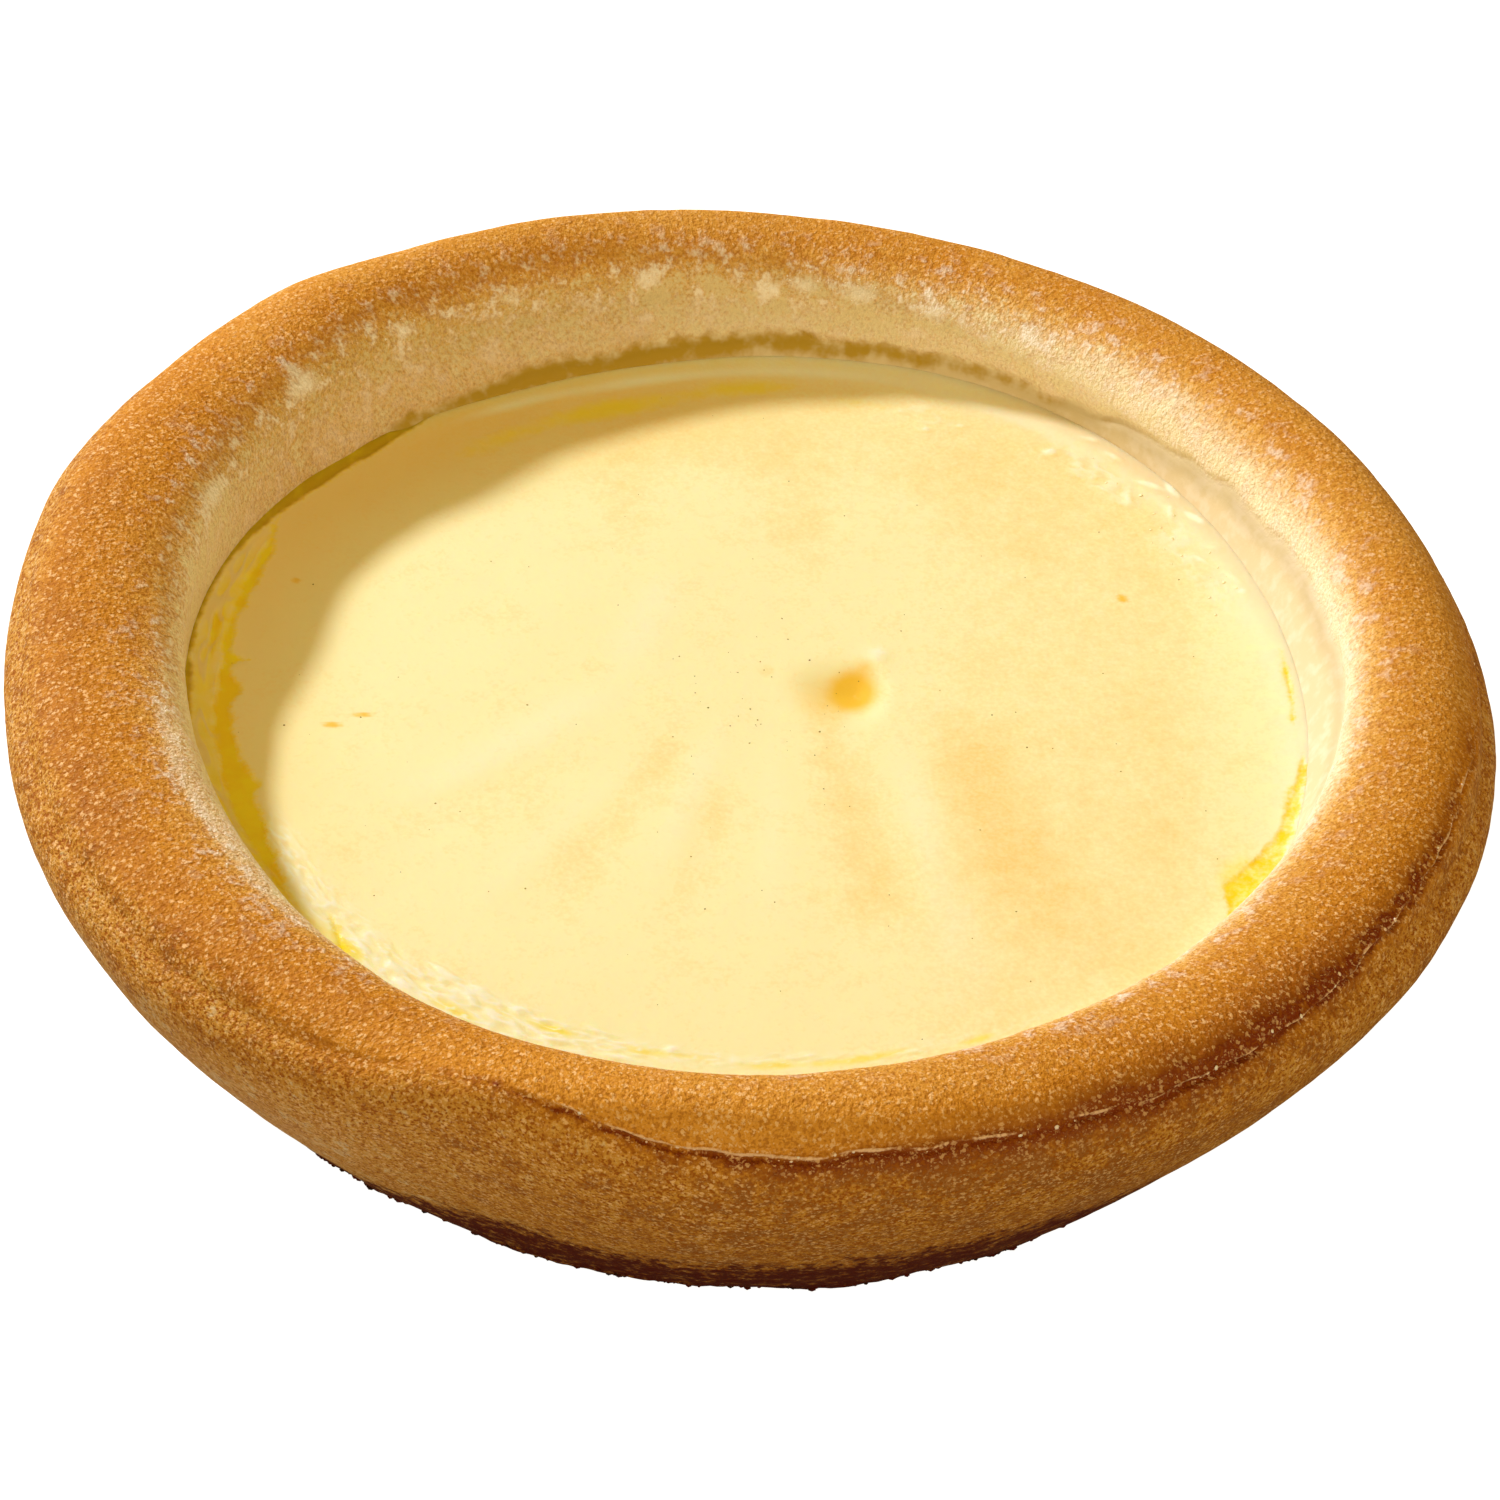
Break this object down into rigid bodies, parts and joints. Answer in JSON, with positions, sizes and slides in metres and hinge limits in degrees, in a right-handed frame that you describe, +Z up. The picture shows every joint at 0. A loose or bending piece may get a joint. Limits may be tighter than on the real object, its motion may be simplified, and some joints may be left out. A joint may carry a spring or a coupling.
{
  "type": "mini vlaai",
  "caption": "Small round tart: a golden baked dough case with a puffed rim and flared wall, filled with smooth pale yellow custard that sits below the rim.",
  "frame": {"origin": "middle of the flat base, on the surface that the tart stands on", "axes": "+Z up out of the filling, -Y towards the side that the picture shows at the front, +X to the picture's right"},
  "size_m": [0.1108, 0.106, 0.0275],
  "materials": {
    "baked_dough": "dry golden brown crust, paler inside the rim",
    "custard": "smooth moist skin, satin"
  },
  "bodies": {
    "root": {"dough_case": "baked_dough", "custard_filling": "custard"}
  },
  "joints": []
}
